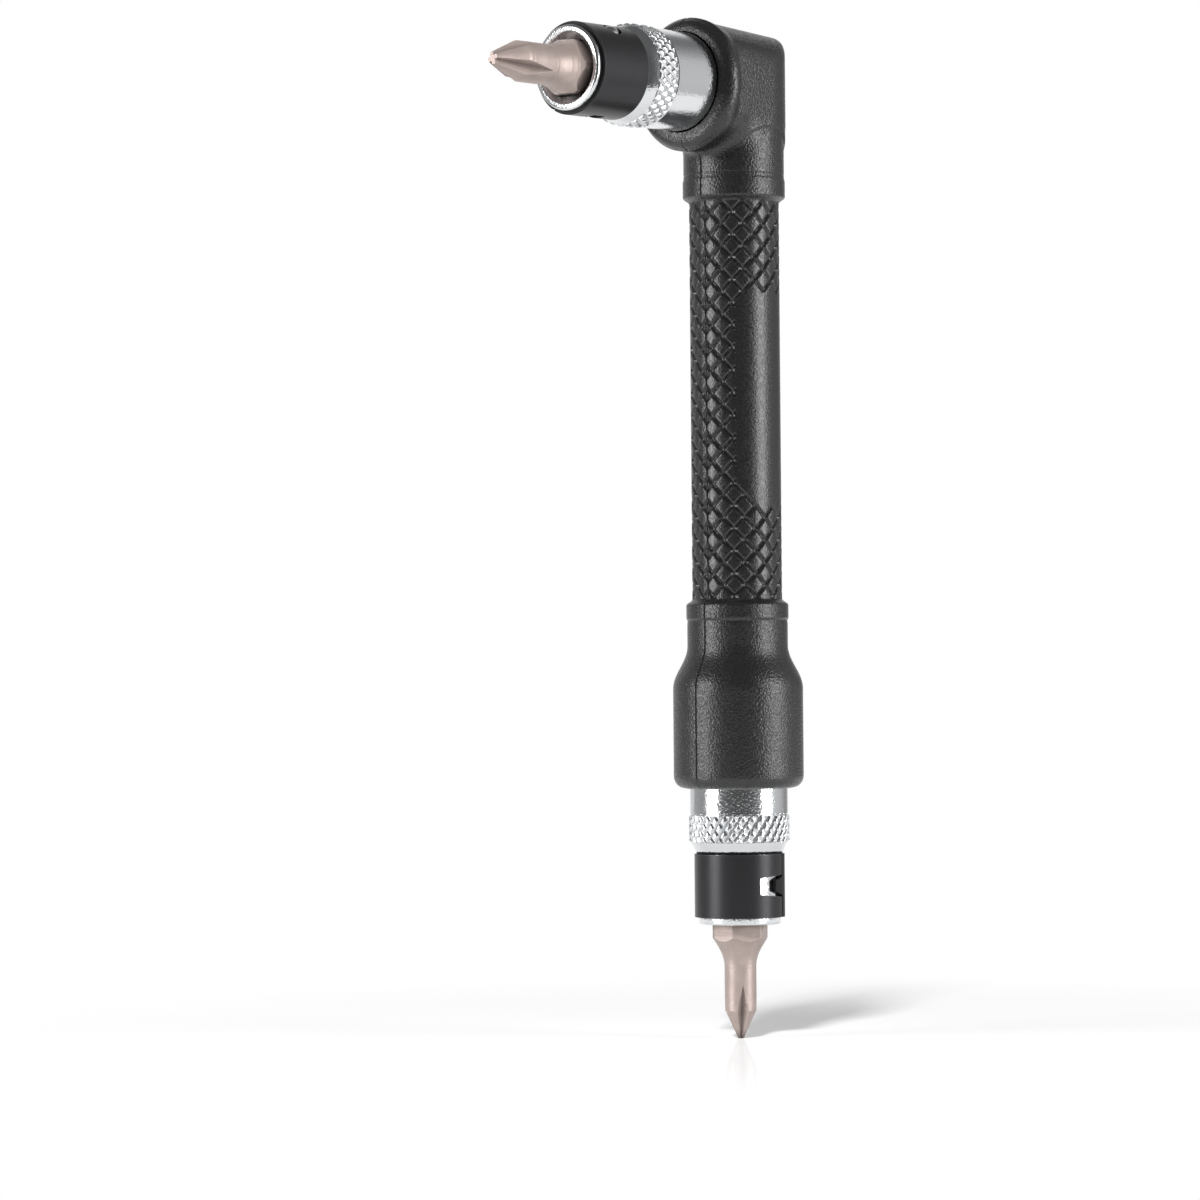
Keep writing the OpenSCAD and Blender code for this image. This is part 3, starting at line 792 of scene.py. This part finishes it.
profile_blur = 15
close_rings_below = 3.4 * MM
close_rings_above = 4.2 * MM
turned_above = 3.4 * MM
tube_end = 0.1 * MM
grip_sharp_degrees = 38
scale_turn = math.radians(14.4)
scale_first = math.radians(8)
scale_pitch = 2.745 * MM
scale_row_z = head_z - 16.94 * MM
scale_groove = 0.28 * MM
scale_groove_w = 0.3 * MM
scale_groove_bend = 1.15
scale_crown = 0.06 * MM
scale_crown_w = 0.85 * MM
scale_side = 1.94 * MM
scale_fade = 0.25 * MM
scale_edge_blend = 0.05
scale_corner_blend = 0.1
# Scales are counted in columns round from the seam and in rows down from the head. The smooth
# panel takes the rows from the first number to the second, fewer in the columns at its two sides.
scale_columns = 12
panel_cut_column = 2
panel_cut_rows = (8, 22)
panel_next_rows = (6, 23)
panel_rows = (6, 25)
panel_sink = 0.2
panel_middle = math.radians(94.4)
panel_half_turn = math.radians(54)
seam_depth = 0.13 * MM
seam_w = 0.17 * MM
grain_size = 0.24 * MM
grain_depth = 0.075 * MM
tube_grain_share = 0.5
tube_grain_fade = 1 * MM
speck_size = 1.2 * grain_size
ripple_size = 1.1 * MM
ripple_depth = 0.25 * MM


def smooth_min(a, b, blend):
    """The smaller of two distances, with a fillet where they meet."""
    share = np.clip(0.5 + 0.5 * (b - a) / blend, 0, 1)
    return b * (1 - share) + a * share - blend * share * (1 - share)


def grip_distance(x, y, z):
    """Distance from the skin of the head and the neck, less than 0 inside."""
    up = z - head_z
    from_axis = np.sqrt(y * y + (up + head_drop) ** 2)
    arch = up + heel_arch_low - np.sqrt(np.maximum(heel_arch_r ** 2 - x * x, 0))
    heel = np.clip(arch / heel_step_w, 0, 1) * np.clip((x - heel_front) / heel_fade, 0, 1)
    neck = np.sqrt(x * x + y * y) - neck_r - heel_step * heel * heel * (3 - 2 * heel)
    neck = np.maximum(neck, up)
    slope = (cone_end_r - cone_front_r) / (head_half_w - cone_front_x)
    cone = from_axis - (cone_front_r + slope * (x - cone_front_x))
    cone = smooth_min(cone, neck, neck_blend)
    flank = np.sqrt(np.maximum(x, 0) ** 2 + y * y) - head_half_w
    block = -smooth_min(-cone, -flank, head_edge_blend)
    block = np.maximum(block, collar_front + collar_len / 2 - x)
    half = collar_len / 2 - collar_edge_r
    across = np.abs(x - collar_front - collar_len / 2) - half
    outward = from_axis - (collar_r - collar_edge_r)
    collar = (np.sqrt(np.maximum(across, 0) ** 2 + np.maximum(outward, 0) ** 2)
              + np.minimum(np.maximum(across, outward), 0) - collar_edge_r)
    return smooth_min(np.minimum(block, neck), collar, collar_blend)


def space_distance(x, y, z):
    """Distance from the walls of the space for the elbow block and the barrel."""
    up = z - head_z
    post = np.maximum(np.sqrt(x * x + y * y) - elbow_space_r,
                      np.maximum(elbow_space_low - z, z - elbow_space_high))
    box = np.maximum(np.maximum(np.abs(y) - elbow_space_r, np.abs(up) - elbow_space_r),
                     np.maximum(elbow_space_front - x, x))
    bore_r = np.where(x < collar_front + collar_groove_depth, collar_groove_r, barrel_r + shell_gap)
    bore = np.maximum(np.sqrt(y * y + up * up) - bore_r, x - elbow_space_front)
    return np.minimum(np.minimum(post, box), bore)


def reach(distance, origin, ways):
    """How far each ray runs from its origin to the first wall."""
    steps = np.linspace(0, longest_ray, 160)
    at = origin[:, None, None, :] + ways[:, :, None, :] * steps[None, None, :, None]
    outside = distance(at[..., 0], at[..., 1], at[..., 2]) > 0
    first = np.argmax(outside, axis=2)
    low = steps[np.maximum(first - 1, 0)]
    high = steps[first]
    for _ in range(18):
        mid = (low + high) / 2
        at = origin[:, None, :] + ways * mid[..., None]
        out = distance(at[..., 0], at[..., 1], at[..., 2]) > 0
        high = np.where(out, mid, high)
        low = np.where(out, low, mid)
    return (low + high) / 2


def turned_outline(heights):
    """The plain radius of the bell, the tube and the neck at each height."""
    bell_top = bell_bottom + bell_len
    low_bead = tube_bottom - low_bead_len
    top_bead = tube_top + bead_step
    bend = np.linspace(0, math.pi / 2, 9)
    fall = np.linspace(0, 1, 25)
    bead_end = top_bead + bead_len
    neck_line = bead_end + neck_line_up
    points = [(bell_bottom + bell_edge_r * (1 - math.cos(b)), bell_r - bell_edge_r * (1 - math.sin(b)))
              for b in bend]
    points += [(bell_top + bell_curve_len * s,
                neck_r + (bell_r - neck_r) * (1 + math.cos(math.pi * s)) / 2) for s in fall]
    points += [(low_bead - line_w, neck_r), (low_bead - line_w / 2, neck_r - line_depth),
               (low_bead + low_bead_rise, bead_r), (tube_bottom - bead_step, bead_r),
               (tube_bottom, tube_r), (tube_top, tube_r), (top_bead, bead_r), (bead_end, bead_r),
               (bead_end + top_bead_fall, neck_r), (neck_line - line_w / 2, neck_r),
               (neck_line, neck_r - line_depth), (neck_line + line_w / 2, neck_r), (head_z, neck_r)]
    z, r = np.array(points).T
    fine = np.linspace(bell_bottom, head_z, profile_steps)
    padded = np.pad(np.interp(fine, z, r), profile_blur, mode="edge")
    window = np.ones(2 * profile_blur + 1) / (2 * profile_blur + 1)
    soft = np.convolve(padded, window, mode="valid")
    keep_sharp = fine < bell_bottom + bell_edge_r
    soft[keep_sharp] = np.interp(fine, z, r)[keep_sharp]
    return np.interp(heights, fine, soft)


def in_panel(a, b, from_seam):
    """Whether a scale gives way to the smooth panel, by its column and row, from 0 at the top."""
    column, row = a + b, a - b
    side = np.minimum(column, scale_columns - column)
    panel = (side > panel_cut_column + 1) & (row >= panel_rows[0]) & (row <= panel_rows[1])
    next_in = side == panel_cut_column + 1
    next_in = next_in & (row >= panel_next_rows[0]) & (row <= panel_next_rows[1])
    cut_off = (side == panel_cut_column) & (row >= panel_cut_rows[0]) & (row <= panel_cut_rows[1])
    return panel | next_in | cut_off & (np.abs(from_seam - panel_middle) < panel_half_turn)


def scales(from_seam, z):
    """Height of the moulded scales, 0 on their crowns and a little less on the smooth panel."""
    column = (from_seam - scale_first) / scale_turn
    row = (scale_row_z - z) / (scale_pitch / 2)
    across, along = (column + row) / 2, (column - row) / 2
    a, b = np.round(across), np.round(along)
    panel = in_panel(a, b, from_seam)
    edges = []
    for edge, next_a, next_b in ((0.5 - across + a, a + 1, b), (0.5 + across - a, a - 1, b),
                                 (0.5 - along + b, a, b + 1), (0.5 + along - b, a, b - 1)):
        edges.append(np.where(panel & in_panel(next_a, next_b, from_seam), 1.0, edge))
    nearest = smooth_min(smooth_min(edges[0], edges[1], scale_edge_blend),
                         smooth_min(edges[2], edges[3], scale_edge_blend), scale_corner_blend)
    inside = np.clip(nearest, 0, None) * scale_side
    groove = np.clip(1 - inside / scale_groove_w, 0, 1) ** scale_groove_bend
    crown = np.where(panel, panel_sink, np.clip(1 - inside / scale_crown_w, 0, 1) ** 2)
    fade = np.clip(np.minimum(z - tube_bottom, tube_top - z) / scale_fade, 0, 1)
    return -(scale_groove * groove + scale_crown * crown) * fade


def grip_half(name, side):
    """One shell: rings of its grained skin, closed by the parting faces and the inner wall."""
    # The points of a ring lie closer at the seam, where the groove is.
    seam_turns = np.radians([0, 0.4, 0.8, 1.25, 1.75, 2.4, 3.2, 4.2])
    middle_turns = np.linspace(seam_turns[-1], math.pi - seam_turns[-1], 170)[1:-1]
    turns = np.concatenate([seam_turns, middle_turns, math.pi - seam_turns[::-1]])
    inner_turns = np.linspace(math.pi, 0, 25)
    close_start, close_end = tube_bottom - close_rings_below, tube_top + close_rings_above
    z_marks = [(bell_bottom, bell_bottom + bell_edge_r, 10),
               (bell_bottom + bell_edge_r, close_start, 50),
               (close_start, tube_bottom + tube_end, 44),
               (tube_bottom + tube_end, tube_top - tube_end, 460),
               (tube_top - tube_end, close_end, 54),
               (close_end, pivot_z, 6)]
    heights = np.concatenate([np.linspace(a, b, n, endpoint=False) for a, b, n in z_marks])

    def placed(centres, tilts, ring_turns, radii):
        along = np.stack([np.cos(tilts), np.zeros(len(tilts)), np.sin(tilts)], -1)[:, None, :]
        across = np.array([0, side, 0])
        ways = np.cos(ring_turns)[None, :, None] * along + np.sin(ring_turns)[None, :, None] * across
        return centres[:, None, :] + ways * radii[..., None]

    def ways_of(tilts, ring_turns):
        ones = np.ones((len(tilts), len(ring_turns)))
        return placed(np.zeros((len(tilts), 3)), tilts, ring_turns, ones)

    straight = heights < tube_top + turned_above
    low_z, high_z = heights[straight], heights[~straight]
    bends = np.linspace(0, math.pi / 2, 96)
    rise = (head_z - pivot_z + pivot_x) * bends / (math.pi / 2)
    centre_reach = -pivot_x + rise + bend_bulge * np.sin(2 * bends)
    shares = np.concatenate([np.linspace(0, 1, 26, endpoint=False)[1:], [0.985, 1.0]])
    front_x = pivot_x + (collar_front - pivot_x) * shares
    centres = np.concatenate([
        np.stack([high_z * 0, high_z * 0, high_z], -1),
        np.stack([pivot_x + np.cos(bends) * centre_reach, bends * 0,
                  pivot_z + np.sin(bends) * centre_reach], -1),
        np.stack([front_x, front_x * 0, front_x * 0 + head_z], -1)])
    tilts = np.concatenate([high_z * 0, bends, front_x * 0 + math.pi / 2])
    from_front = math.pi - turns
    low_r = turned_outline(low_z)[:, None] + scales(from_front[None, :], low_z[:, None])
    outer_r = np.concatenate([low_r, reach(grip_distance, centres, ways_of(tilts, turns))])
    seam = np.minimum(turns, math.pi - turns)[None, :] * outer_r
    outer_r = outer_r - seam_depth * np.clip(1 - seam / seam_w, 0, 1) ** 2
    low_inner = np.where(low_z < tail_high.z, barrel_r + shell_gap, rod_space_r)
    low_inner = np.where(low_z > elbow_space_low, elbow_space_r, low_inner)
    inner_r = np.concatenate([
        np.repeat(low_inner[:, None], len(inner_turns), 1),
        reach(space_distance, centres, ways_of(tilts, inner_turns))])
    all_centres = np.concatenate([np.stack([low_z * 0, low_z * 0, low_z], -1), centres])
    all_tilts = np.concatenate([low_z * 0, tilts])
    rings = np.concatenate([placed(all_centres, all_tilts, turns, outer_r),
                            placed(all_centres, all_tilts, inner_turns, inner_r)], axis=1)
    return lofted(name, rings, grip_sharp_degrees)


def worked(tree, operation, *values):
    """What a sum gives on values and outputs."""
    return add(tree, "ShaderNodeMath", enumerate(values), operation=operation).outputs["Value"]


# Charcoal plastic from an eroded mould: a broken sheen, with a sparkle in the strips of light and
# soft waves on the collar. The grain is drawn a little coarser than real, so that it shows.
grained, tree, shader, place = start_material("grained_charcoal_plastic")
spot = add(tree, "ShaderNodeSeparateXYZ", {0: place}).outputs
tube_middle, tube_half = (tube_bottom + tube_top) / 2, (tube_top - tube_bottom) / 2
off_tube = worked(tree, "ABSOLUTE", worked(tree, "SUBTRACT", spot["Z"], tube_middle))
grain_share = add(tree, "ShaderNodeMapRange",
                  {"Value": off_tube, "From Min": tube_half - tube_grain_fade, "From Max": tube_half,
                   "To Min": tube_grain_share}).outputs["Result"]
grain = worked(tree, "MULTIPLY", noise(tree, place, grain_size, 1.0), grain_share)
on_collar = add(tree, "ShaderNodeMapRange",
                {"Value": spot["X"], "From Min": collar_front + collar_len,
                 "From Max": collar_front + collar_len / 2}).outputs["Result"]
waves = worked(tree, "MULTIPLY", noise(tree, place, ripple_size, 2.0), on_collar)
gloss = add(tree, "ShaderNodeMapRange",
            {"Value": noise(tree, place, speck_size, 0.0), "From Min": 0.3, "From Max": 0.7,
             "To Min": 0.25, "To Max": 0.39}).outputs["Result"]
fill(tree, shader, {"Base Color": linear(grip_charcoal), "Specular IOR Level": 0.75, "Roughness": gloss,
                    "Normal": bump(tree, waves, 0.35, ripple_depth,
                                   Normal=bump(tree, grain, 1.0, grain_depth))})
for name, side in (("right", -1), ("left", 1)):
    shell = grip_half(name + "_grip_moulding", side)
    shell.data.materials.append(grained)
    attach(shell, "root")
    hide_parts(name + "_grip_shell")

# Floor and lights
# The tool stands on glossy white board in a white studio. Two tall soft boxes at the sides draw the
# light strips down the chrome and the grip, and a lamp over the camera throws the shadow back.
box_turn = math.radians(68)
box_distance = 0.7
box_w = 0.3
box_h = 0.7
box_power = 3.9
lamp_turn = math.radians(-14)
lamp_up = math.radians(38)
lamp_distance = 0.9
lamp_size = 0.12
lamp_power = 8.6
aim_height = 60 * MM
board_white = "#fafafa"
board_mirror_share = 0.2
board_front = 0.2
board_side = 0.25
board_back = 0.6
shadow_near = 30 * MM
shadow_far = 120 * MM
floor_mesh = bpy.data.meshes.new("studio_floor")
front_edge = towards_camera * board_front
back_edge = -towards_camera * board_back
aside = picture_right * board_side
floor_mesh.from_pydata([front_edge - aside, front_edge + aside, back_edge + aside, back_edge - aside],
                       [], [(0, 1, 2, 3)])
floor = bpy.data.objects.new("studio_floor", floor_mesh)
bpy.context.scene.collection.objects.link(floor)

# The board fades into the white background round the tool, so only the shadow shows on it.
board, tree, shader, place = start_material("glossy_white_board")
path = add(tree, "ShaderNodeLightPath").outputs
seen = worked(tree, "MAXIMUM", path["Is Camera Ray"], path["Is Glossy Ray"])
seen = worked(tree, "MAXIMUM", seen, path["Is Transmission Ray"])
away = add(tree, "ShaderNodeVectorMath", {0: place}, operation="LENGTH").outputs["Value"]
fade = add(tree, "ShaderNodeMapRange",
           {"Value": away, "From Min": shadow_near, "From Max": shadow_far},
           interpolation_type="SMOOTHSTEP").outputs["Result"]
white = add(tree, "ShaderNodeEmission", {"Color": (1, 1, 1, 1), "Strength": 1.0})
mirror = add(tree, "ShaderNodeBsdfGlossy", {"Color": (1, 1, 1, 1), "Roughness": 0.04})
matt = add(tree, "ShaderNodeBsdfDiffuse", {"Color": linear(board_white)})
near = add(tree, "ShaderNodeMixShader",
           {0: board_mirror_share, 1: matt.outputs["BSDF"], 2: mirror.outputs["BSDF"]})
blend = add(tree, "ShaderNodeMixShader", {0: worked(tree, "MULTIPLY", fade, seen),
                                          1: near.outputs["Shader"], 2: white.outputs["Emission"]})
tree.nodes.remove(shader)
tree.links.new(blend.outputs["Shader"], tree.nodes["Material Output"].inputs["Surface"])
floor.data.materials.append(board)


def soft_light(name, turn, up, distance, width, tall, power):
    """A flat light at a turn round from the camera and an angle up, facing the tool."""
    light = bpy.data.lights.new(name, "AREA")
    light.shape = "RECTANGLE"
    light.size = width
    light.size_y = tall
    light.energy = power
    made = bpy.data.objects.new(name, light)
    bpy.context.scene.collection.objects.link(made)
    level = towards_camera * math.cos(turn) + picture_right * math.sin(turn)
    way = level * math.cos(up) + picture_up * math.sin(up)
    made.location = way * distance + picture_up * aim_height
    made.rotation_euler = way.to_track_quat("Z", "Y").to_euler()
    return made


soft_light("left_soft_box", -box_turn, 0, box_distance, box_w, box_h, box_power)
soft_light("right_soft_box", box_turn, 0, box_distance, box_w, box_h, box_power)
shadow_lamp = soft_light("over_camera_lamp", lamp_turn, lamp_up, lamp_distance, lamp_size,
                         lamp_size, lamp_power)
# Seen in the black grip, the lamp would be a wide glare that the photograph doesn't have.
shadow_lamp.visible_glossy = False

# White for the camera. Metal sees the walls of the room by their turn from the camera, to the left
# and to the right: dark behind the camera, light grey beside it and white behind the tool.
wall_greys = (
    (-180, 0.95), (-162, 0.9), (-150, 0.5), (-141, 0.9), (-133, 0.4), (-94, 0.3), (-82, 0.5),
    (-56, 0.5), (-46, 0.16), (-30, 0.1), (0, 0.08), (30, 0.1), (42, 0.17), (54, 0.4),
    (84, 0.66), (100, 0.58), (118, 0.48), (138, 0.27), (154, 0.35), (165, 0.9), (180, 0.95))
ceiling_grey = 0.12
ceiling_starts = 0.45
ceiling_full = 0.8


def plain_grey(share):
    """A grey by its linear share of white."""
    return share, share, share, 1


world = bpy.data.worlds.new("white_studio")
bpy.context.scene.world = world
world.use_nodes = True
tree = world.node_tree
back = tree.nodes["Background"]
path = add(tree, "ShaderNodeLightPath").outputs
way = add(tree, "ShaderNodeTexCoord").outputs["Generated"]
turn = worked(tree, "ARCTAN2", dot(tree, way, picture_right), dot(tree, way, towards_camera))
turn = add(tree, "ShaderNodeMapRange", {"Value": turn, "From Min": -math.pi, "From Max": math.pi})
walls = add(tree, "ShaderNodeValToRGB", {"Fac": turn.outputs["Result"]})
stops = walls.color_ramp.elements
stops[0].color = plain_grey(wall_greys[0][1])
stops[1].color = plain_grey(wall_greys[-1][1])
for degrees, grey in wall_greys[1:-1]:
    stops.new(0.5 + degrees / 360).color = plain_grey(grey)
up = add(tree, "ShaderNodeMapRange", {"Value": dot(tree, way, picture_up),
                                      "From Min": ceiling_starts, "From Max": ceiling_full})
room = mix(tree, up.outputs["Result"], walls.outputs["Color"], plain_grey(ceiling_grey))
plain = worked(tree, "MAXIMUM", path["Is Camera Ray"], path["Is Transmission Ray"])
fill(tree, back, {"Color": mix(tree, plain, room, (1, 1, 1, 1)), "Strength": 1.0})

bpy.context.scene.view_settings.view_transform = "Standard"
